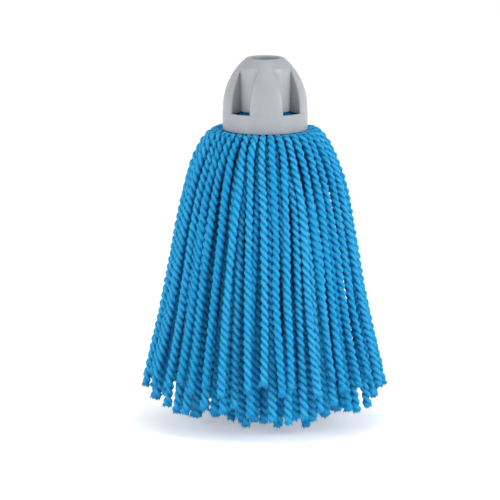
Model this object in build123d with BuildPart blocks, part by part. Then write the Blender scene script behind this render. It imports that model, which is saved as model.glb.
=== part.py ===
from build123d import *
import math
import os

os.makedirs("parts", exist_ok=True)

# Push-on socket mop head: a domed plastic socket that grips folded lengths of twisted yarn.
# Millimetres. Origin at the centre of the handle bore's mouth, +Z up out of the bore, front towards -Y.

# ---- driving dimensions ----
SOCKET_HEIGHT = 59.0        # mouth of the bore to the foot of the collar
COLLAR_RADIUS = 35.2
COLLAR_HEIGHT = 15.0        # plain band below the pockets
DOME_BASE_RADIUS = 34.9     # the dome stands a little inside the collar band
DOME_ARC_RADIUS = 53.0      # side view of the dome
DOME_ARC_CENTRE_Z = -41.0
COLLAR_STEP = 0.3
WALL = 2.2

BORE_RADIUS = 12.1          # for a 24 mm handle
BORE_DEPTH = 52.0
SLEEVE_WALL = 2.5
MOUTH_ROUNDING = 1.2

CORE_RADIUS = 23.4          # outside of the core wall, the floor of each pocket
CORE_WALL = 2.0
CORE_FOOT_Z = -43.0         # just above the collar, so the packed yarn shows through a slit
POCKET_WIDTH = 18.4
POCKET_ANGLES = (-40, 40, 140, 220)   # from the front, turning towards +X
POCKET_CHEEK = 2.0          # wall beside each pocket
EDGE_BREAK = 1.3            # chamfer round each pocket
FLOOR_MARGIN = 0.5          # edges nearer the pocket floor than this stay sharp
WEB_COUNT = 8
WEB_THICKNESS = 1.6
WEB_FOOT_Z = -16.0
WEB_HEIGHT = 7.0
CHAMBER_TOP_Z = -6.4        # where the space round the sleeve ends
CHAMBER_ROOF = 5.0          # dome thickness over the outside of that space

PLUG_CLEARANCE = 0.3
PLUG_WALL = 2.0
PLUG_TOP_Z = -45.0
PLUG_HUB_FOOT_Z = -50.0     # where the plug's straight hub turns into its flare
PLUG_FLARE_RADIUS = 26.3
PLUG_FOOT_Z = -60.2
PLUG_LIP = 2.0              # flat foot round the flare
FLARE_TOP_MIDDLE = (20.0, -55.6)       # halfway point of the flare's upper face: radius, height
FLARE_UNDERSIDE_MIDDLE = (17.9, -57.6)

RING_RADIUS = 18.2
RING_WIRE_RADIUS = 1.5
RING_Z = -22.0
RING_SEAT = 0.05            # gap between the ring and the yarn folded over it

SOFT_GAP = 0.3              # between the packed yarn and the plastic
FLARE_GAP = 0.6             # the same, over the edge of the plug's flare
YARN_SHOULDER_Z = -44.4     # top of the packed yarn inside the collar
YARN_OVER_FLARE = (20.3, -54.6)        # the packed yarn's underside over the flare: radius, height
YARN_DIAMETER = 4.8         # one leg, as it packs under the collar
LOCK_COUNT = 10             # groups of legs that swing out together
OUTER_PER_LOCK = 4
SECOND_PER_LOCK = 3
INNER_GROUPS = 5
INNER_PER_GROUP = 6
CORE_LEGS = 12

# Side view of one leg in each layer: distance from the axis, height.
OUTER_ROUTE = [
    (36.5, -62.2), (42.0, -60.4), (47.8, -65.0), (53.8, -75.0), (60.2, -90.0),
    (66.2, -110.0), (73.2, -145.0), (80.1, -186.0), (88.6, -226.0), (98.7, -268.0),
]
SECOND_ROUTE = [
    (34.0, -66.6), (40.5, -67.2), (46.2, -74.0), (52.5, -86.0), (59.0, -102.0),
    (65.5, -124.0), (71.6, -158.0), (77.5, -196.0), (83.5, -234.0), (90.8, -277.0),
]
INNER_ROUTE = [
    (24.5, -62.5), (25.5, -72.0), (28.0, -86.0), (32.0, -105.0), (37.0, -130.0),
    (43.0, -165.0), (49.0, -205.0), (54.0, -245.0), (58.2, -289.0),
]
CORE_ROUTE = [
    (11.0, -62.5), (11.6, -85.0), (13.5, -125.0), (17.5, -180.0), (23.5, -238.0), (31.5, -295.0),
]
# How much longer or shorter each cut end is than its route, taken in turn round a layer.
END_TRIMS = (0.0, -5.0, 3.0, -2.0, 5.0, -7.0, 2.0)
BEND_SHARE = 0.45           # how much of the shorter run each bend of a leg may use

# ---- sizes worked out from the driving dimensions ----
collar_foot_z = -SOCKET_HEIGHT
collar_top_z = collar_foot_z + COLLAR_HEIGHT
sleeve_radius = BORE_RADIUS + SLEEVE_WALL
collar_inner_radius = COLLAR_RADIUS - WALL
core_inner_radius = CORE_RADIUS - CORE_WALL
dome_centre_r = DOME_BASE_RADIUS - DOME_ARC_RADIUS
plug_bore_radius = sleeve_radius + PLUG_CLEARANCE
plug_hub_radius = plug_bore_radius + PLUG_WALL
lock_angle = 360 / LOCK_COUNT
outer_pitch = lock_angle / OUTER_PER_LOCK


def dome_radius(z, arc_radius=DOME_ARC_RADIUS):
    """Radius of the dome's arc at height z."""
    return dome_centre_r + math.sqrt(arc_radius**2 - (z - DOME_ARC_CENTRE_Z) ** 2)


def dome_height(r, arc_radius=DOME_ARC_RADIUS):
    """Height of the dome's arc at radius r."""
    return DOME_ARC_CENTRE_Z + math.sqrt(arc_radius**2 - (r - dome_centre_r) ** 2)


def heading(angle):
    """Plane through the axis, its x outwards at this angle from the front and its y up."""
    a = math.radians(angle - 90)
    outwards = Vector(math.cos(a), math.sin(a), 0)
    return Plane(origin=(0, 0, 0), x_dir=outwards, z_dir=outwards.cross(Vector(0, 0, 1)))


# ---- socket ----
# The hollow under the dome wall, outside the core wall, without the blocks that the pockets are cut into.
inner_arc = DOME_ARC_RADIUS - WALL
with BuildPart() as dome_hollow:
    with BuildSketch(Plane.XZ):
        with BuildLine():
            hollow_top = (CORE_RADIUS, dome_height(CORE_RADIUS, inner_arc))
            hollow_side = (dome_radius(DOME_ARC_CENTRE_Z, inner_arc), DOME_ARC_CENTRE_Z)
            middle_z = (hollow_top[1] + DOME_ARC_CENTRE_Z) / 2
            ThreePointArc(hollow_top, (dome_radius(middle_z, inner_arc), middle_z), hollow_side)
            Polyline(hollow_side, (hollow_side[0], collar_top_z), (CORE_RADIUS, collar_top_z), hollow_top)
        make_face()
    revolve(axis=Axis.Z)
    for angle in POCKET_ANGLES:
        with BuildSketch(Plane.XY.offset(collar_top_z)):
            with Locations(Location((0, 0, 0), (0, 0, 1), angle - 90)):
                with Locations((COLLAR_RADIUS / 2, 0)):
                    Rectangle(COLLAR_RADIUS, POCKET_WIDTH + 2 * POCKET_CHEEK)
        extrude(amount=SOCKET_HEIGHT, mode=Mode.SUBTRACT)

with BuildPart() as pocket_cutters:
    for angle in POCKET_ANGLES:
        with BuildSketch(Plane.XY.offset(collar_top_z)):
            with Locations(Location((0, 0, 0), (0, 0, 1), angle - 90)):
                with Locations((COLLAR_RADIUS, 0)):
                    Rectangle(COLLAR_RADIUS, POCKET_WIDTH)
            Circle(CORE_RADIUS, mode=Mode.SUBTRACT)
        extrude(amount=SOCKET_HEIGHT)

with BuildPart() as socket:
    with BuildSketch(Plane.XZ) as side_view:
        with BuildLine():
            rim = (dome_radius(0), 0)
            dome_foot = (DOME_BASE_RADIUS, DOME_ARC_CENTRE_Z)
            ThreePointArc(rim, (dome_radius(DOME_ARC_CENTRE_Z / 2), DOME_ARC_CENTRE_Z / 2), dome_foot)
            Polyline(
                dome_foot,
                (DOME_BASE_RADIUS, collar_top_z),
                (COLLAR_RADIUS, collar_top_z - COLLAR_STEP),
                (COLLAR_RADIUS, collar_foot_z),
                (0, collar_foot_z),
                (0, 0),
                rim,
            )
        make_face()
        fillet(side_view.vertices().group_by(Axis.Y)[-1].sort_by(Axis.X)[-1], MOUTH_ROUNDING)
    revolve(axis=Axis.Z)
    add(pocket_cutters.part, mode=Mode.SUBTRACT)
    cut_edges = socket.edges().filter_by(lambda edge: collar_top_z + FLOOR_MARGIN < edge.center().Z < -WALL)
    crests = cut_edges.filter_by(lambda edge: edge.geom_type != GeomType.CIRCLE or edge.radius < DOME_BASE_RADIUS)
    crests = crests.filter_by(lambda edge: edge.geom_type != GeomType.LINE or edge.length < COLLAR_HEIGHT)
    chamfer(crests, EDGE_BREAK)
    with BuildSketch(Plane.XZ):
        with BuildLine():
            bend = MOUTH_ROUNDING * (1 - math.sqrt(0.5))
            ThreePointArc(
                (BORE_RADIUS + MOUTH_ROUNDING, 0),
                (BORE_RADIUS + bend, -bend),
                (BORE_RADIUS, -MOUTH_ROUNDING),
            )
            Polyline(
                (BORE_RADIUS, -MOUTH_ROUNDING),
                (BORE_RADIUS, -BORE_DEPTH),
                (sleeve_radius, -BORE_DEPTH),
                (sleeve_radius, CHAMBER_TOP_Z),
                (core_inner_radius, dome_height(core_inner_radius) - CHAMBER_ROOF),
                (core_inner_radius, CORE_FOOT_Z),
                (CORE_RADIUS, CORE_FOOT_Z),
                (CORE_RADIUS, collar_top_z),
                (collar_inner_radius, collar_top_z),
                (collar_inner_radius, collar_foot_z),
                (0, collar_foot_z),
                (0, 0),
                (BORE_RADIUS + MOUTH_ROUNDING, 0),
            )
        make_face()
    revolve(axis=Axis.Z, mode=Mode.SUBTRACT)
    add(dome_hollow.part, mode=Mode.SUBTRACT)
    with BuildSketch(Plane.XY.offset(WEB_FOOT_Z)):
        with PolarLocations((sleeve_radius + core_inner_radius) / 2, WEB_COUNT):
            Rectangle(core_inner_radius - sleeve_radius + WALL / 2, WEB_THICKNESS)
    extrude(amount=WEB_HEIGHT)
socket.part.label = "socket"
export_step(socket.part, "parts/socket.step")

# ---- clamp plug: a flared cup that is pressed up round the foot of the sleeve ----
with BuildPart() as clamp_plug:
    with BuildSketch(Plane.XZ):
        with BuildLine():
            Polyline(
                (0, -BORE_DEPTH),
                (plug_bore_radius, -BORE_DEPTH),
                (plug_bore_radius, PLUG_TOP_Z),
                (plug_hub_radius, PLUG_TOP_Z),
                (plug_hub_radius, PLUG_HUB_FOOT_Z),
            )
            flare_tip = (PLUG_FLARE_RADIUS, PLUG_FOOT_Z + PLUG_WALL)
            ThreePointArc((plug_hub_radius, PLUG_HUB_FOOT_Z), FLARE_TOP_MIDDLE, flare_tip)
            lip = (PLUG_FLARE_RADIUS - PLUG_LIP, PLUG_FOOT_Z)
            Polyline(flare_tip, (PLUG_FLARE_RADIUS, PLUG_FOOT_Z), lip)
            floor_edge = (plug_bore_radius, -BORE_DEPTH - PLUG_WALL)
            ThreePointArc(lip, FLARE_UNDERSIDE_MIDDLE, floor_edge)
            Polyline(floor_edge, (0, -BORE_DEPTH - PLUG_WALL), (0, -BORE_DEPTH))
        make_face()
    revolve(axis=Axis.Z)
clamp_plug.part.label = "clamp_plug"
export_step(clamp_plug.part, "parts/clamp_plug.step")

# ---- anchor ring: the hoop that the lengths of yarn are folded over ----
with BuildPart() as anchor_ring:
    with BuildSketch(Plane.XZ):
        with Locations((RING_RADIUS, RING_Z)):
            Circle(RING_WIRE_RADIUS)
    revolve(axis=Axis.Z)
anchor_ring.part.label = "anchor_ring"
export_step(anchor_ring.part, "parts/anchor_ring.step")

# ---- gathered yarn: the folded middles of all the lengths, packed together ----
with BuildPart() as gathered_yarn:
    with BuildSketch(Plane.XZ):
        Polygon(
            (sleeve_radius + SOFT_GAP, WEB_FOOT_Z - SOFT_GAP),
            (core_inner_radius - SOFT_GAP, WEB_FOOT_Z - SOFT_GAP),
            (core_inner_radius - SOFT_GAP, YARN_SHOULDER_Z),
            (collar_inner_radius - SOFT_GAP, YARN_SHOULDER_Z),
            (collar_inner_radius - SOFT_GAP, collar_foot_z + SOFT_GAP),
            (PLUG_FLARE_RADIUS + SOFT_GAP, collar_foot_z + SOFT_GAP),
            (PLUG_FLARE_RADIUS + SOFT_GAP, PLUG_FOOT_Z + PLUG_WALL + FLARE_GAP),
            YARN_OVER_FLARE,
            (plug_hub_radius + SOFT_GAP, PLUG_HUB_FOOT_Z),
            (plug_hub_radius + SOFT_GAP, PLUG_TOP_Z + SOFT_GAP),
            (sleeve_radius + SOFT_GAP, PLUG_TOP_Z + SOFT_GAP),
            align=None,
        )
        with Locations((RING_RADIUS, RING_Z)):
            Circle(RING_WIRE_RADIUS + RING_SEAT, mode=Mode.SUBTRACT)
    revolve(axis=Axis.Z)
gathered_yarn.part.label = "gathered_yarn"
export_step(gathered_yarn.part, "parts/gathered_yarn.step")


# ---- yarn legs ----
def bend_radii(points):
    """Radius for each corner of a route that uses the same share of the shorter run beside it."""
    radii = []
    for before, corner, after in zip(points, points[1:], points[2:]):
        run_in = Vector(*corner) - Vector(*before)
        run_out = Vector(*after) - Vector(*corner)
        half_turn = math.radians(run_in.get_angle(run_out) / 2)
        radii.append(BEND_SHARE * min(run_in.length, run_out.length) / math.tan(half_turn))
    return radii


def trimmed(route, trim):
    """The route with its last run made longer by trim."""
    run = Vector(*route[-1]) - Vector(*route[-2])
    tip = Vector(*route[-1]) + run.normalized() * trim
    return route[:-1] + [(tip.X, tip.Y)]


def leg(route, angle, trim):
    """One leg of yarn at this angle from the front."""
    points = trimmed(route, trim)
    plane = heading(angle)
    with BuildPart() as yarn_leg:
        with BuildLine(plane):
            FilletPolyline(*points, radius=bend_radii(points))
        start = plane.from_local_coords(Vector(*points[0]))
        second = plane.from_local_coords(Vector(*points[1]))
        with BuildSketch(Plane(origin=start, z_dir=second - start)):
            Circle(YARN_DIAMETER / 2)
        sweep()
    return yarn_leg.part


def write_legs(name, legs):
    """Write one node that holds these legs as separate solids."""
    solids = [solid for one in legs for solid in one.solids()]
    group = Compound(children=solids) if len(solids) > 1 else solids[0]
    group.label = name
    export_step(group, f"parts/{name}.step")


def trim_for(index):
    """The cut-end difference of the leg with this number in its layer."""
    return END_TRIMS[index % len(END_TRIMS)]


# Outer layer: one node for each leg, four to a lock.
for index in range(LOCK_COUNT * OUTER_PER_LOCK):
    angle = (index - (OUTER_PER_LOCK - 1) / 2) * outer_pitch
    write_legs(f"outer_leg_{index + 1:02d}", [leg(OUTER_ROUTE, angle, trim_for(index))])

# Second layer: the legs that show between the outer ones, one node for each lock.
for lock in range(LOCK_COUNT):
    legs = []
    for place in range(SECOND_PER_LOCK):
        angle = lock * lock_angle + (place - (SECOND_PER_LOCK - 1) / 2) * outer_pitch
        legs.append(leg(SECOND_ROUTE, angle, trim_for(3 * lock + 2 * place)))
    write_legs(f"second_legs_{lock + 1:02d}", legs)

# Inner layer and core: legs that hang under the plug and don't swing out.
inner_pitch = 360 / (INNER_GROUPS * INNER_PER_GROUP)
for group in range(INNER_GROUPS):
    numbers = range(group * INNER_PER_GROUP, (group + 1) * INNER_PER_GROUP)
    write_legs(f"inner_legs_{group + 1}", [leg(INNER_ROUTE, n * inner_pitch, trim_for(2 * n)) for n in numbers])
write_legs("core_legs", [leg(CORE_ROUTE, n * 360 / CORE_LEGS, trim_for(3 * n)) for n in range(CORE_LEGS)])
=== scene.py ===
"""Push-on string mop head: twisted yarn legs, moulded plastic and a plain studio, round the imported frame."""

import logging
import math
from dataclasses import dataclass, field
from enum import Enum
from typing import Any

import bpy
import numpy as np
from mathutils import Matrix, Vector


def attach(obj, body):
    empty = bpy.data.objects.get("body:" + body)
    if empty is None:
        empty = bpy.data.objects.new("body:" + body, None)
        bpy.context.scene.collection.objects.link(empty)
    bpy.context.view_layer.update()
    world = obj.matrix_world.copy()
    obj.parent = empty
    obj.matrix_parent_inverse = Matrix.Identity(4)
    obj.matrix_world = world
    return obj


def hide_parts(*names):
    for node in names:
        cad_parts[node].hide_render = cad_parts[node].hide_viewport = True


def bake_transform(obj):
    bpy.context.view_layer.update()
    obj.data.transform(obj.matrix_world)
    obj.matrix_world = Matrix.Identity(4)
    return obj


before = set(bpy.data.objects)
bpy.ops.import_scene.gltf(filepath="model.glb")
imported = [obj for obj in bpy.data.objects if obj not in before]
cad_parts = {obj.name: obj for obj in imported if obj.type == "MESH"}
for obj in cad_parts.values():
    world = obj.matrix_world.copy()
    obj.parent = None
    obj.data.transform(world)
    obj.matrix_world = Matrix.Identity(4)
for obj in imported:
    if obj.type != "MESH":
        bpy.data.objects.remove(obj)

log = logging.getLogger("mop")

MM = 0.001
Point = tuple[float, float]

Colour = tuple[float, float, float, float]

# Side view of each layer's legs: distance from the axis and height, in millimetres. The outer and second
# routes are the part's own after a one-point lead-in, and so is the core's, without one. The inner route is
# the part's own from its third point on.
OUTER_ROUTE: list[Point] = [
    (31.0, -62.6), (36.5, -62.2), (42.0, -60.4), (47.8, -65.0), (53.8, -75.0), (60.2, -90.0),
    (66.2, -110.0), (73.2, -145.0), (80.1, -186.0), (88.6, -226.0), (98.7, -268.0),
]
SECOND_ROUTE: list[Point] = [
    (29.5, -65.4), (34.0, -66.6), (40.5, -67.2), (46.2, -74.0), (52.5, -86.0), (59.0, -102.0),
    (65.5, -124.0), (71.6, -158.0), (77.5, -196.0), (83.5, -234.0), (90.8, -277.0),
]
INNER_ROUTE: list[Point] = [
    (28.5, -61.2), (25.4, -65.5), (25.5, -72.0), (28.0, -86.0), (32.0, -105.0), (37.0, -130.0),
    (43.0, -165.0), (49.0, -205.0), (54.0, -245.0), (58.2, -289.0),
]
# Extra legs between the inner and second layers, which close gaps that would show through. The part
# has none.
MIDDLE_ROUTE: list[Point] = [
    (28.6, -62.4), (28.4, -68.0), (31.0, -77.0), (36.5, -91.0), (41.5, -108.0), (47.5, -134.0),
    (54.0, -170.0), (60.0, -208.0), (65.5, -246.0), (71.0, -286.0),
]
CORE_ROUTE: list[Point] = [
    (11.0, -62.5), (11.6, -85.0), (13.5, -125.0), (17.5, -180.0), (23.5, -238.0), (31.5, -295.0),
]
# Extra legs in the middle of the core. The part has none.
HEART_ROUTE: list[Point] = [
    (4.5, -62.8), (5.0, -85.0), (6.5, -125.0), (9.0, -180.0), (12.5, -238.0), (16.5, -296.0),
]
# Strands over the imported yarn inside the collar, up to the ring.
GATHER_ROUTE: list[Point] = [
    (30.3, -61.8), (30.6, -54.0), (29.0, -48.6), (24.5, -46.8), (19.6, -44.5), (18.3, -36.0), (18.2, -18.5),
]
# Millimetres that neighbouring legs are longer or shorter by, over and over.
END_TRIMS = (0.0, -5.0, 3.0, -2.0, 5.0, -7.0, 2.0)


# ---------------------------------------------------------------- shader helpers

# Numbers of the sockets that a Mix node uses for colours. Their names aren't unique on the node.
MIX_FACTOR, MIX_FIRST, MIX_SECOND, MIX_RESULT = 0, 6, 7, 2


class Signal:
    """A socket that can be used in arithmetic; each operator adds its Math node."""

    def __init__(self, graph: "Graph", socket: bpy.types.NodeSocket) -> None:
        """Keep the socket and the graph it belongs to.

        Args:
            graph: the material's node graph.
            socket: an output socket in that graph.
        """
        self.graph = graph
        self.socket = socket

    def _math(self, operation: str, first: Any, second: Any, clamp: bool = False) -> "Signal":
        """Add one Math node.

        Args:
            operation: Blender's name of the operation.
            first: signal or number.
            second: signal or number.
            clamp: whether the result is held between 0 and 1.

        Returns:
            The node's result.
        """
        settings = {"operation": operation, "use_clamp": clamp}
        return self.graph.node("ShaderNodeMath", settings, {0: first, 1: second})

    def __add__(self, other: Any) -> "Signal":
        """Sum."""
        return self._math("ADD", self, other)

    __radd__ = __add__

    def __mul__(self, other: Any) -> "Signal":
        """Product."""
        return self._math("MULTIPLY", self, other)

    __rmul__ = __mul__

    def __sub__(self, other: Any) -> "Signal":
        """Difference."""
        return self._math("SUBTRACT", self, other)

    def __rsub__(self, other: Any) -> "Signal":
        """Difference from a number."""
        return self._math("SUBTRACT", other, self)

    def __truediv__(self, other: Any) -> "Signal":
        """Quotient."""
        return self._math("DIVIDE", self, other)

    def __rtruediv__(self, other: Any) -> "Signal":
        """Quotient of a number."""
        return self._math("DIVIDE", other, self)

    def clamped(self) -> "Signal":
        """The value held between 0 and 1."""
        return self._math("ADD", self, 0.0, clamp=True)

    def ramp(self, low: float, high: float) -> "Signal":
        """0 at low, 1 at high, held between."""
        return ((self - low) / (high - low)).clamped()


class Graph:
    """The node graph of one material."""

    def __init__(self, name: str) -> None:
        """Make an empty material.

        Args:
            name: the material's name.
        """
        self.material = bpy.data.materials.new(name)
        self.material.use_nodes = True
        self.tree = self.material.node_tree
        self.tree.nodes.clear()

    def _add(self, kind: str, settings: dict[str, Any], inputs: dict[Any, Any]) -> bpy.types.Node:
        """Add any node.

        Args:
            kind: the node's type.
            settings: properties, set first.
            inputs: socket name or number to a value or a Signal.

        Returns:
            The node.
        """
        made = self.tree.nodes.new(kind)
        for key, value in settings.items():
            setattr(made, key, value)
        for key, value in inputs.items():
            if isinstance(value, Signal):
                self.tree.links.new(value.socket, made.inputs[key])
            else:
                made.inputs[key].default_value = value
        return made

    def node(self, kind: str, settings: dict[str, Any], inputs: dict[Any, Any], output: Any = 0) -> Signal:
        """Add any node and take one of its outputs.

        Args:
            kind: the node's type.
            settings: properties, set first.
            inputs: socket name or number to a value or a Signal.
            output: name or number of the output.

        Returns:
            That output as a Signal.
        """
        return Signal(self, self._add(kind, settings, inputs).outputs[output])

    def attribute(self, name: str, output: str = "Fac") -> Signal:
        """A mesh attribute by name."""
        return self.node("ShaderNodeAttribute", {"attribute_name": name}, {}, output)

    def place(self) -> Signal:
        """Object coordinates in metres."""
        return self.node("ShaderNodeTexCoord", {}, {}, "Object")

    def stretched(self, vector: Signal, scale: tuple[float, float, float]) -> Signal:
        """A vector scaled along each axis."""
        inputs = {"Vector": vector, "Scale": scale}
        return self.node("ShaderNodeMapping", {"vector_type": "POINT"}, inputs)

    def noise(self, vector: Signal, scale: float, detail: float = 3.0, roughness: float = 0.55) -> Signal:
        """Noise value about 0.5."""
        inputs = {"Vector": vector, "Scale": scale, "Detail": detail, "Roughness": roughness}
        return self.node("ShaderNodeTexNoise", {"noise_dimensions": "3D"}, inputs, "Fac")

    def blend_colour(self, factor: Any, first: Any, second: Any) -> Signal:
        """Mix of two colours.

        Args:
            factor: signal or number, 0 gives first.
            first: signal or RGBA.
            second: signal or RGBA.

        Returns:
            The mixed colour.
        """
        settings = {"data_type": "RGBA", "blend_type": "MIX"}
        inputs = {MIX_FACTOR: factor, MIX_FIRST: first, MIX_SECOND: second}
        return self.node("ShaderNodeMix", settings, inputs, MIX_RESULT)

    def bump(self, height: Signal, strength: float, distance: float) -> Signal:
        """Normal from a height.

        Args:
            height: the height signal.
            strength: share of the bump that shows.
            distance: metres for one unit of height.

        Returns:
            The bumped normal.
        """
        inputs = {"Height": height, "Strength": strength, "Distance": distance}
        return self.node("ShaderNodeBump", {}, inputs, "Normal")

    def finish(self, inputs: dict[str, Any]) -> bpy.types.Material:
        """Close the graph with a Principled shader.

        Args:
            inputs: its sockets.

        Returns:
            The material.
        """
        shader = self.node("ShaderNodeBsdfPrincipled", {}, inputs, "BSDF")
        self._add("ShaderNodeOutputMaterial", {}, {"Surface": shader})
        return self.material


# ---------------------------------------------------------------- finishes


@dataclass(frozen=True)
class YarnFinish:
    """Fuzzy twisted yarn, with painted shade down in the grooves between its plies and painted highlights on
    the ply crests.
    """

    name: str = "blue_yarn"
    # painted light and shade: crest, flank and groove are the lit, half-lit and shaded colours across a ply,
    # and pale is a painted highlight on the crests
    crest: Colour = (0.030, 0.390, 0.700, 1.0)
    flank: Colour = (0.003, 0.265, 0.580, 1.0)
    groove: Colour = (0.0005, 0.110, 0.310, 1.0)
    pale: Colour = (0.090, 0.480, 0.780, 1.0)
    roughness: float = 0.88
    sheen: float = 0.05

    def material(self) -> bpy.types.Material:
        """Build the material.

        Returns:
            The yarn material, read from the attributes of a twisted leg.
        """
        graph = Graph(self.name)
        lie = graph.attribute("yarn_space", "Vector")
        crown = graph.attribute("crown")
        tint = graph.attribute("tint")
        streaks = graph.noise(graph.stretched(lie, (1.6, 1.6, 0.22)), 1.0, 4.0, 0.6)
        tufts = graph.noise(graph.stretched(lie, (0.5, 0.5, 0.16)), 1.0, 2.0)
        fibres = graph.noise(graph.stretched(lie, (4.5, 4.5, 0.7)), 1.0, 3.0, 0.7)
        pills = graph.noise(graph.stretched(lie, (0.85, 0.85, 0.6)), 1.0, 2.0, 0.6)
        # painted shade: the colour darkens from crest to groove with the crown attribute, standing in for the
        # shade between the plies
        depth = (crown + (streaks - 0.5) * 0.5 + (pills - 0.5) * 0.9).clamped()
        low = graph.blend_colour(depth.ramp(0.0, 0.45), self.groove, self.flank)
        colour = graph.blend_colour(depth.ramp(0.3, 0.95), low, self.crest)
        # painted highlight: pale patches on the ply crests, plus a paler tone on some legs at random
        painted_highlight_and_tone = (tufts.ramp(0.52, 0.72) * 0.55 + tint * 0.25) * depth.ramp(0.35, 0.9)
        colour = graph.blend_colour(painted_highlight_and_tone, colour, self.pale)
        colour = graph.blend_colour((0.45 - tint).ramp(0.0, 0.45) * 0.4, colour, self.flank)
        colour = graph.blend_colour((1 - fibres).ramp(0.45, 0.75) * 0.35, colour, self.flank)
        height = streaks * 0.5 + fibres * 0.2 + pills * 0.6
        return graph.finish({
            "Base Color": colour,
            "Roughness": self.roughness,
            "Sheen Weight": self.sheen,
            "Sheen Roughness": 0.4,
            "Specular IOR Level": 0.08,
            "Normal": graph.bump(height, 1.0, 0.0013),
        })


@dataclass(frozen=True)
class PlasticFinish:
    """Satin moulded plastic with a fine grain, faint flow marks and light scuffs."""

    name: str
    colour: Colour
    shade: Colour
    roughness: float

    def material(self) -> bpy.types.Material:
        """Build the material.

        Returns:
            The plastic material.
        """
        graph = Graph(self.name)
        place = graph.place()
        flow = graph.noise(graph.stretched(place, (40.0, 40.0, 9.0)), 1.0, 3.0)
        grain = graph.noise(place, 1600.0, 2.0)
        scuffs = graph.noise(graph.stretched(place, (90.0, 90.0, 900.0)), 1.0, 2.0, 0.4)
        colour = graph.blend_colour(flow.ramp(0.3, 0.7), self.shade, self.colour)
        rough = self.roughness + (flow - 0.5) * 0.14 + scuffs.ramp(0.62, 0.8) * 0.1
        return graph.finish({
            "Base Color": colour,
            "Roughness": rough,
            "Specular IOR Level": 0.5,
            "Normal": graph.bump(grain * 0.8 + scuffs * 0.2, 0.35, 0.0001),
        })


@dataclass(frozen=True)
class FloorFinish:
    """Plain pale floor."""

    name: str = "studio_floor"

    def material(self) -> bpy.types.Material:
        """Build the material.

        Returns:
            A matt white.
        """
        graph = Graph(self.name)
        return graph.finish({
            "Base Color": (0.93, 0.93, 0.93, 1.0),
            "Roughness": 0.9,
            "Emission Color": (1.0, 1.0, 1.0, 1.0),
            "Emission Strength": 0.32,
        })


# ---------------------------------------------------------------- yarn


@dataclass(frozen=True)
class Twist:
    """Section and lay of one leg of yarn, in metres."""

    diameter: float = 0.0064
    plies: int = 2
    ply_offset: float = 0.40
    pitch: float = 0.0128
    around: int = 20
    step: float = 0.0011
    hand: float = -1.0

    def section(self, turn: np.ndarray) -> np.ndarray:
        """Radius of the bunched plies at each angle, as a share of half the diameter.

        Args:
            turn: angle from the first ply, in radians.

        Returns:
            1 at the crown of a ply, least in the groove between two.
        """
        sector = 2 * math.pi / self.plies
        off_crown = (turn + sector / 2) % sector - sector / 2
        ply_radius = 1 - self.ply_offset
        across = self.ply_offset * np.sin(off_crown)
        return self.ply_offset * np.cos(off_crown) + np.sqrt(ply_radius**2 - across**2)


class Line:
    """A smooth centreline, read from a route's spline and stepped evenly."""

    def __init__(self, points: np.ndarray, step: float) -> None:
        """Make the line.

        Args:
            points: the route's points in metres, one row each.
            step: distance between places on the line.
        """
        dense = self._spline(points)
        lengths = np.linalg.norm(np.diff(dense, axis=0), axis=1)
        along = np.concatenate(([0.0], np.cumsum(lengths)))
        self.length = float(along[-1])
        count = max(8, round(self.length / step)) + 1
        self.along = np.linspace(0.0, self.length, count)
        self.places = np.stack([np.interp(self.along, along, dense[:, axis]) for axis in range(3)], axis=1)

    @staticmethod
    def _spline(points: np.ndarray) -> np.ndarray:
        """Read a smooth line through a route.

        Args:
            points: the spline's control points.

        Returns:
            Places on the spline, in order.
        """
        curve = bpy.data.curves.new("route", "CURVE")
        curve.dimensions = "3D"
        curve.resolution_u = 16
        spline = curve.splines.new("NURBS")
        spline.points.add(len(points) - 1)
        for target, place in zip(spline.points, points):
            target.co = (*place, 1.0)
        spline.order_u = 3
        spline.use_endpoint_u = True
        holder = bpy.data.objects.new("route", curve)
        mesh = bpy.data.meshes.new_from_object(holder)
        places = np.array([vertex.co for vertex in mesh.vertices], float)
        bpy.data.objects.remove(holder)
        bpy.data.curves.remove(curve)
        bpy.data.meshes.remove(mesh)
        return places

    def axes(self) -> tuple[np.ndarray, np.ndarray, np.ndarray]:
        """Tangent and two side directions at each place, carried along without turning.

        Returns:
            Tangents, first sides, second sides.
        """
        tangents = np.gradient(self.places, axis=0)
        tangents /= np.linalg.norm(tangents, axis=1)[:, None]
        side = np.cross(tangents[0], (0.0, 0.0, 1.0))
        side /= max(np.linalg.norm(side), 1e-9)
        firsts = []
        for tangent in tangents:
            side = side - tangent * side.dot(tangent)
            side /= np.linalg.norm(side)
            firsts.append(side)
        first = np.array(firsts)
        return tangents, first, np.cross(tangents, first)


class Layer(Enum):
    """Where a leg is: from the outside of the skirt inwards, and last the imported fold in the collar."""

    OUTER = "outer"
    SECOND = "second"
    MIDDLE = "middle"
    INNER = "inner"
    CORE = "core"
    HEART = "heart"
    GATHER = "gather"


@dataclass(frozen=True)
class Hang:
    """How the legs of one layer hang, in millimetres where it is a length."""

    route: list[Point]
    first_seed: int
    longer: float = 0.0
    trim_share: float = 1.0
    loose_from: int = 4
    sway: float = 2.3
    lead: float = 0.88
    swell: float = 1.06
    cut_end: bool = True
    # painted shade: scales the crown attribute, so a low value paints the whole leg in the dark groove colours
    shade: float = 1.0
    twist: Twist = field(default_factory=Twist)


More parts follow.
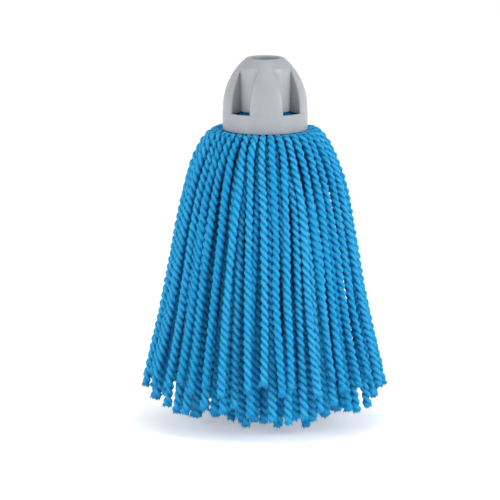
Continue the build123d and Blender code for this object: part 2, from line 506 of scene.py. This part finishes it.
HANGS: dict[Layer, Hang] = {
    Layer.OUTER: Hang(OUTER_ROUTE, 100),
    Layer.SECOND: Hang(SECOND_ROUTE, 200, longer=7.0, swell=1.16),
    Layer.MIDDLE: Hang(MIDDLE_ROUTE, 640, longer=3.0, trim_share=0.7, sway=2.2, lead=0.7, swell=1.4),
    Layer.INNER: Hang(INNER_ROUTE, 300, longer=6.0, sway=3.0, swell=1.3),
    Layer.CORE: Hang(CORE_ROUTE, 400, longer=3.0, loose_from=2, swell=1.35),
    Layer.HEART: Hang(HEART_ROUTE, 700, loose_from=2, swell=1.35),
    # painted shade: the gathered strands inside the collar are painted dark
    Layer.GATHER: Hang(GATHER_ROUTE, 500, trim_share=0.0, sway=0.0, cut_end=False, shade=0.12,
                       twist=Twist(diameter=0.0046)),
}


@dataclass(frozen=True)
class Ripple:
    """One slow change along a leg. Its length is the metres of leg to one radian."""

    size: float
    length: float
    phase: float

    def at(self, along: np.ndarray, start: float) -> np.ndarray:
        """The ripple at each distance along a leg that has this start."""
        return self.size * np.sin(along / self.length + self.phase * start)


@dataclass(frozen=True)
class Unevenness:
    """How far a leg departs from an even twist."""

    side_share: float = 0.42
    depth_share: float = 0.17
    slow_turn: Ripple = Ripple(0.8, 0.027, 1.0)
    quick_turn: Ripple = Ripple(0.3, 0.0095, 2.0)
    short_bulge: Ripple = Ripple(0.045, 0.009, 1.0)
    long_bulge: Ripple = Ripple(0.035, 0.023, 3.0)
    ply_size: float = 0.06
    ply_length: float = 0.0075
    thickens_over: float = 0.05
    fuzz: float = 0.035


@dataclass(frozen=True)
class CutEnd:
    """A leg's cut end and its loose fibres, in metres."""

    spread_over: float = 0.006
    round_share: float = 0.96
    rounding: float = 0.7
    flare: float = 0.10
    pinch: float = 0.25
    pinch_over: float = 0.0015
    darkens_over: float = 0.004
    dark_share: float = 0.55
    fibres: int = 30
    root_depth: float = 0.0016
    reach_share: float = 0.95
    inmost: float = 0.02
    lean: float = 0.02
    lean_more: float = 0.22
    lean_spread: float = 0.14
    shortest: float = 0.0022
    longest: float = 0.0042
    thinnest: float = 0.00045
    thickest: float = 0.0008
    curl: float = 0.0005
    levels: tuple[tuple[float, float], ...] = ((0.0, 1.0), (0.55, 0.8))
    corners: int = 3
    farthest: float = 0.0053
    crown: tuple[float, float] = (0.35, 0.95)
    slope_over: int = 3


UNEVEN = Unevenness()
END = CutEnd()
MESH_SEED = 5000            # keeps a mesh's draws apart from its route's
TEXTURE_SHIFT = 37.0        # millimetres between two legs' places in the texture
TEXTURE_PLACES = 97
TIP_DROP = 0.9              # how far the tip stands past the last ring, in steps
TIP_CROWN = 0.25


@dataclass
class Leg:
    """One leg of yarn: its line and the mesh of its twisted plies."""

    layer: Layer
    angle: float
    trim: float
    seed: int

    @property
    def hang(self) -> Hang:
        """How this leg's layer hangs."""
        return HANGS[self.layer]

    def points(self) -> np.ndarray:
        """The route's points in the frame, with this leg's own unevenness.

        Returns:
            Points in metres.
        """
        rng = np.random.default_rng(self.seed)
        flat = np.array(self.hang.route, float)
        run = flat[-1] - flat[-2]
        flat[-1] += run / np.linalg.norm(run) * self.trim
        count = len(flat)
        loose_from = self.hang.loose_from
        share = np.clip((np.arange(count) - loose_from + 1) / max(1, count - loose_from), 0, 1)
        heading = math.radians(self.angle)
        outwards = np.array((math.sin(heading), -math.cos(heading), 0.0))
        aside = np.array((math.cos(heading), math.sin(heading), 0.0))
        points = flat[:, :1] * outwards + flat[:, 1:] * np.array((0.0, 0.0, 1.0))
        steps = rng.normal(0, 1, (2, count)) * (share > 0) * self.hang.sway
        points += (np.cumsum(steps[0]) * UNEVEN.side_share)[:, None] * aside
        points += (np.cumsum(steps[1]) * UNEVEN.depth_share)[:, None] * outwards
        return points * MM

    def build(self) -> tuple[Line, dict[str, np.ndarray], list[tuple[int, ...]]]:
        """Work out the leg's mesh.

        Returns:
            Its line, its vertex data by name, and its faces.
        """
        rng = np.random.default_rng(self.seed + MESH_SEED)
        hang, twist = self.hang, self.hang.twist
        line = Line(self.points(), twist.step)
        _, first, second = line.axes()
        around = np.arange(twist.around) * 2 * math.pi / twist.around
        start = rng.uniform(0, 2 * math.pi)
        wander = UNEVEN.slow_turn.at(line.along, start) + UNEVEN.quick_turn.at(line.along, start)
        turned = twist.hand * 2 * math.pi * line.along / twist.pitch + start + wander
        own = around[None, :] - turned[:, None]
        share = twist.section(own)
        ply_fat = 1 + UNEVEN.ply_size * np.sin(own + line.along[:, None] / UNEVEN.ply_length + start)
        fat = self._thickness(line, start)
        left = line.length - line.along
        if hang.cut_end:
            to_end = np.clip(left / END.spread_over, 0, 1)[:, None]
            share = share + (END.round_share - share) * (1 - to_end) * END.rounding
            flare = 1 + END.flare * (1 - to_end[:, 0]) ** 2
            fat *= flare * (1 - END.pinch * np.clip(1 - left / END.pinch_over, 0, 1))
        fuzz = 1 + rng.normal(0, UNEVEN.fuzz, share.shape)
        radius = share * ply_fat * fuzz * fat[:, None] * twist.diameter / 2
        circle = np.cos(around)[None, :, None] * first[:, None, :]
        circle = circle + np.sin(around)[None, :, None] * second[:, None, :]
        verts = (line.places[:, None, :] + radius[:, :, None] * circle).reshape(-1, 3)
        least = float(twist.section(np.array([math.pi / twist.plies]))[0])
        # painted shade: the layer's shade value darkens all its legs
        crown = np.clip((share - least) / (1 - least), 0, 1).reshape(-1) * hang.shade
        if hang.cut_end:
            bright = END.dark_share + (1 - END.dark_share) * np.clip(left / END.darkens_over, 0, 1)
            crown = crown * np.repeat(bright, twist.around)
        shift = TEXTURE_SHIFT * (self.seed % TEXTURE_PLACES)
        lie = np.stack([
            (radius * np.cos(own)).reshape(-1) / MM,
            (radius * np.sin(own)).reshape(-1) / MM,
            np.repeat(line.along / MM + shift, twist.around),
        ], axis=1)
        faces = self._faces(len(line.along), len(verts))
        drop = line.places[-1] + (line.places[-1] - line.places[-2]) * TIP_DROP
        data = {
            "verts": np.vstack([verts, drop]),
            "crown": np.append(crown, TIP_CROWN),
            "lie": np.vstack([lie, lie[-1]]),
        }
        if hang.cut_end:
            self._fray(line, first[-1], second[-1], rng, data, faces)
        data["tint"] = np.full(len(data["verts"]), rng.uniform(0, 1))
        return line, data, faces

    def _thickness(self, line: Line, start: float) -> np.ndarray:
        """Thickness at each place, as a share of the yarn's diameter.

        Args:
            line: the leg's line.
            start: the leg's own phase.

        Returns:
            One share for each place.
        """
        fat = 1 + UNEVEN.short_bulge.at(line.along, start) + UNEVEN.long_bulge.at(line.along, start)
        from_start = np.clip(line.along / UNEVEN.thickens_over, 0, 1)
        fat *= self.hang.lead + (1 - self.hang.lead) * from_start
        fat *= 1 + (self.hang.swell - 1) * line.along / line.length
        return fat

    def _faces(self, rings: int, tip: int) -> list[tuple[int, ...]]:
        """Faces of the twisted tube, closed at both ends.

        Args:
            rings: how many rings of vertices it has.
            tip: the number of the vertex at its tip.

        Returns:
            Vertex numbers of each face.
        """
        around = self.hang.twist.around
        faces: list[tuple[int, ...]] = []
        for ring in range(rings - 1):
            low = ring * around
            for place in range(around):
                after = (place + 1) % around
                faces.append((low + place, low + after, low + around + after, low + around + place))
        faces.append(tuple(range(around - 1, -1, -1)))
        last = (rings - 1) * around
        for place in range(around):
            faces.append((last + place, last + (place + 1) % around, tip))
        return faces

    def _fray(self, line: Line, first: np.ndarray, second: np.ndarray, rng: np.random.Generator,
              data: dict[str, np.ndarray], faces: list[tuple[int, ...]]) -> None:
        """Add the short loose fibres at the cut end.

        Args:
            line: the leg's line.
            first: one side direction at the end.
            second: the other side direction there.
            rng: the leg's own random numbers.
            data: vertex data, added to.
            faces: faces, added to.
        """
        down = line.places[-1] - line.places[-1 - END.slope_over]
        down /= np.linalg.norm(down)
        half = self.hang.twist.diameter / 2
        new: list[np.ndarray] = []
        for _ in range(END.fibres):
            turn = rng.uniform(0, 2 * math.pi)
            reach = half * END.reach_share * math.sqrt(rng.uniform(END.inmost, 1.0))
            side = math.cos(turn) * first + math.sin(turn) * second
            root = line.places[-1] + side * reach - down * END.root_depth
            lean = side * (END.lean + END.lean_more * reach / half) + down
            lean += rng.normal(0, END.lean_spread, 3)
            lean /= np.linalg.norm(lean)
            length = rng.uniform(END.shortest, END.longest)
            width = rng.uniform(END.thinnest, END.thickest)
            cross_a = np.cross(lean, first)
            cross_a /= np.linalg.norm(cross_a)
            cross_b = np.cross(lean, cross_a)
            base = len(data["verts"]) + len(new)
            bend = rng.normal(0, END.curl, 3)
            for share, fat in END.levels:
                centre = root + lean * length * share + bend * share
                for corner in range(END.corners):
                    a = corner * 2 * math.pi / END.corners
                    new.append(centre + (math.cos(a) * cross_a + math.sin(a) * cross_b) * width * fat)
            new.append(root + lean * length + bend)
            upper = base + END.corners
            tip = upper + END.corners
            for corner in range(END.corners):
                after = (corner + 1) % END.corners
                faces.append((base + corner, base + after, upper + after, upper + corner))
                faces.append((upper + corner, upper + after, tip))
            faces.append((base + 2, base + 1, base))
        fresh = np.array(new) - line.places[-1]
        reach = np.linalg.norm(fresh, axis=1)[:, None]
        fresh = line.places[-1] + fresh * np.minimum(1.0, END.farthest / np.maximum(reach, 1e-9))
        data["verts"] = np.vstack([data["verts"], fresh])
        data["crown"] = np.append(data["crown"], rng.uniform(*END.crown, len(fresh)))
        data["lie"] = np.vstack([data["lie"], fresh / MM])


def yarn_object(name: str, legs: list[Leg],
                material: bpy.types.Material) -> tuple[bpy.types.Object, list[Line]]:
    """Make one object of one or more legs.

    Args:
        name: the piece's name.
        legs: the legs it holds.
        material: the yarn finish.

    Returns:
        The object and each leg's line.
    """
    parts: dict[str, list[np.ndarray]] = {"verts": [], "crown": [], "lie": [], "tint": []}
    faces: list[tuple[int, ...]] = []
    lines: list[Line] = []
    count = 0
    for leg in legs:
        line, data, own_faces = leg.build()
        lines.append(line)
        faces += [tuple(index + count for index in face) for face in own_faces]
        count += len(data["verts"])
        for key in parts:
            parts[key].append(data[key])
    mesh = bpy.data.meshes.new(name)
    mesh.from_pydata(np.vstack(parts["verts"]).tolist(), [], faces)
    for key in ("crown", "tint"):
        values = mesh.attributes.new(key, "FLOAT", "POINT")
        values.data.foreach_set("value", np.concatenate(parts[key]))
    lie = mesh.attributes.new("yarn_space", "FLOAT_VECTOR", "POINT")
    lie.data.foreach_set("vector", np.vstack(parts["lie"]).reshape(-1))
    mesh.shade_smooth()
    mesh.materials.append(material)
    made = bpy.data.objects.new(name, mesh)
    bpy.context.scene.collection.objects.link(made)
    return made, lines


@dataclass
class Skirt:
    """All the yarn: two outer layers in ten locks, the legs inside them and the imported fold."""

    finish: YarnFinish = field(default_factory=YarnFinish)
    locks: int = 10
    outer_per_lock: int = 4
    second_per_lock: int = 4
    inner_groups: int = 5
    inner_per_group: int = 6
    core_legs: int = 12
    heart_legs: int = 6
    heart_turn: float = 0.3
    gathered: int = 40
    back_longer: float = 1.5
    front_shorter: float = 8.0
    declared_share: float = 0.91
    bend_start: Point = (0.0335, -0.0610)
    bend_end: Point = (0.0470, -0.0680)

    def build(self) -> None:
        self.material = self.finish.material()
        pitch = 360 / self.locks / self.outer_per_lock
        for index in range(self.locks * self.outer_per_lock):
            self._outer(index, (index - (self.outer_per_lock - 1) / 2) * pitch)
        for lock in range(self.locks):
            self._second(lock, pitch)
        for group in range(self.inner_groups):
            self._inner(group)
        core = [self._leg(Layer.CORE, number, number * 360 / self.core_legs, 3 * number)
                for number in range(self.core_legs)]
        for number in range(self.heart_legs):
            angle = (number + self.heart_turn) * 360 / self.heart_legs
            core.append(self._leg(Layer.HEART, number, angle, 2 * number))
        self._fixed("core_legs_yarn", core, "core_legs")
        gather = [self._leg(Layer.GATHER, number, (number + 0.5) * 360 / self.gathered, 0)
                  for number in range(self.gathered)]
        self._fixed("gathered_yarn_strands", gather, "gathered_yarn")

    def _leg(self, layer: Layer, number: int, angle: float, trim: int) -> Leg:
        """One leg of a layer.

        Args:
            layer: where it hangs.
            number: its number in the layer, which sets its seed.
            angle: degrees from the front.
            trim: which end trim it has.

        Returns:
            The leg, not yet built.
        """
        hang = HANGS[layer]
        length = hang.trim_share * END_TRIMS[trim % len(END_TRIMS)] + hang.longer
        return Leg(layer, angle, length, hang.first_seed + number)

    def _outer(self, index: int, angle: float) -> None:
        """Build one outer leg.

        Args:
            index: its number in the layer.
            angle: degrees from the front.
        """
        name = f"outer_leg_{index + 1:02d}"
        leg = self._leg(Layer.OUTER, index, angle, index)
        leg.trim += self.back_longer - self.front_shorter * max(0.0, math.cos(math.radians(angle)))
        piece, lines = yarn_object(f"{name}_yarn", [leg], self.material)
        self._swing(piece)
        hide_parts(name)

    def _second(self, lock: int, pitch: float) -> None:
        """Build one lock's second-layer legs.

        Args:
            lock: the lock's number.
            pitch: degrees between outer legs.
        """
        name = f"second_legs_{lock + 1:02d}"
        middle = lock * 360 / self.locks
        legs = []
        for place in range(self.second_per_lock):
            angle = middle + (place - 1) * pitch
            legs.append(self._leg(Layer.SECOND, 10 * lock + place, angle, 3 * lock + 2 * place))
        piece, _ = yarn_object(f"{name}_yarn", legs, self.material)
        self._swing(piece)
        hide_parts(name)
        log.info("second-layer legs %s", name)

    def _inner(self, group: int) -> None:
        """Build one group of inner legs, each with an extra leg of the middle layer beside it.

        Args:
            group: the group's number.
        """
        pitch = 360 / (self.inner_groups * self.inner_per_group)
        legs = []
        for number in range(group * self.inner_per_group, (group + 1) * self.inner_per_group):
            legs.append(self._leg(Layer.INNER, number, number * pitch, 2 * number))
            legs.append(self._leg(Layer.MIDDLE, number, (number + 0.5) * pitch, 2 * number))
        self._fixed(f"inner_legs_{group + 1}_yarn", legs, f"inner_legs_{group + 1}")

    def _swing(self, piece: bpy.types.Object) -> None:
        """Bake a piece's transform into its mesh.

        Args:
            piece: the yarn.
        """
        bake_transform(piece)

    def _fixed(self, name: str, legs: list[Leg], node: str) -> None:
        """Build legs that stay with the head.

        Args:
            name: the piece's name.
            legs: its legs.
            node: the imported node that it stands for.
        """
        piece, _ = yarn_object(name, legs, self.material)
        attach(piece, "head")
        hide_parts(node)
        log.info("%s: %d legs", name, len(legs))


# ---------------------------------------------------------------- plastic


@dataclass
class Socket:
    """The moulded pieces: socket, clamp plug and anchor ring, dressed as they stand."""

    grey: PlasticFinish = PlasticFinish(
        "socket_grey", (0.325, 0.336, 0.362, 1.0), (0.292, 0.303, 0.329, 1.0), 0.33)
    plug_grey: PlasticFinish = PlasticFinish(
        "plug_grey", (0.36, 0.37, 0.39, 1.0), (0.31, 0.32, 0.34, 1.0), 0.5)
    ring_grey: PlasticFinish = PlasticFinish(
        "ring_grey", (0.30, 0.31, 0.33, 1.0), (0.26, 0.27, 0.28, 1.0), 0.55)

    def dress(self) -> None:
        """Give each moulded piece its finish."""
        finishes = {"socket": self.grey, "clamp_plug": self.plug_grey, "anchor_ring": self.ring_grey}
        for node, finish in finishes.items():
            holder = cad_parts[node]
            material = finish.material()
            holder.data.materials.clear()
            holder.data.materials.append(material)
            log.info("%s dressed in %s", node, finish.name)


# ---------------------------------------------------------------- studio


@dataclass
class Studio:
    """Pale floor, soft lights and the camera."""

    floor_height: float = -0.3065
    aim: tuple[float, float, float] = (-0.0125, 0.0, -0.1612)
    turn: float = -1.65
    elevation: float = 10.0
    distance: float = 4.0
    width_seen: float = 0.4155
    floor_half: float = 40.0
    sensor: float = 36.0
    lit_height: float = -0.12
    surround: float = 0.72

    def build(self) -> None:
        """Make the floor, the lights, the camera and the white surround."""
        self._floor()
        self._camera()
        self._light("right_box", (1.35, -0.85, 0.35), 0.7, 15.0)
        self._light("left_box", (-1.35, -0.85, 0.30), 0.7, 10.0)
        self._light("top_box", (0.15, -0.5, 1.3), 0.8, 3.0)
        self._surround()

    def _floor(self) -> None:
        """Make the floor under the tips."""
        mesh = bpy.data.meshes.new("studio_floor")
        size, drop = self.floor_half, self.floor_height
        corners = [(-size, -size, drop), (size, -size, drop), (size, size, drop), (-size, size, drop)]
        mesh.from_pydata(corners, [], [(0, 1, 2, 3)])
        mesh.materials.append(FloorFinish().material())
        floor = bpy.data.objects.new("studio_floor", mesh)
        bpy.context.scene.collection.objects.link(floor)

    def _camera(self) -> None:
        """Make the long-lens camera."""
        data = bpy.data.cameras.new("camera")
        data.sensor_width = self.sensor
        data.lens = data.sensor_width * self.distance / self.width_seen
        data.clip_end = 50.0
        camera = bpy.data.objects.new("camera", data)
        turn, up = math.radians(self.turn), math.radians(self.elevation)
        back = Vector((math.sin(turn) * math.cos(up), -math.cos(turn) * math.cos(up), math.sin(up)))
        camera.location = Vector(self.aim) + back * self.distance
        camera.rotation_euler = back.to_track_quat("Z", "Y").to_euler()
        bpy.context.scene.collection.objects.link(camera)
        bpy.context.scene.camera = camera

    def _light(self, name: str, place: tuple[float, float, float], size: float, power: float) -> None:
        """Make one soft box that faces the mop.

        Args:
            name: the light's name.
            place: where it stands, in metres.
            size: its side, in metres.
            power: watts.
        """
        data = bpy.data.lights.new(name, "AREA")
        data.size = size
        data.energy = power
        light = bpy.data.objects.new(name, data)
        light.location = place
        towards = Vector(place) - Vector((0.0, 0.0, self.lit_height))
        light.rotation_euler = towards.to_track_quat("Z", "Y").to_euler()
        bpy.context.scene.collection.objects.link(light)

    def _surround(self) -> None:
        """Make the white surround."""
        world = bpy.data.worlds.new("surround")
        world.use_nodes = True
        backdrop = world.node_tree.nodes["Background"]
        backdrop.inputs["Color"].default_value = (1.0, 1.0, 1.0, 1.0)
        backdrop.inputs["Strength"].default_value = self.surround
        bpy.context.scene.world = world


def main() -> None:
    """Build the studio, dress the plastic and hang the yarn."""
    logging.basicConfig(level=logging.INFO, format="%(name)s %(message)s")
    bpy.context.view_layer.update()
    bpy.context.scene.view_settings.view_transform = "Standard"
    Studio().build()
    Socket().dress()
    Skirt().build()


if __name__ == "__main__":
    main()
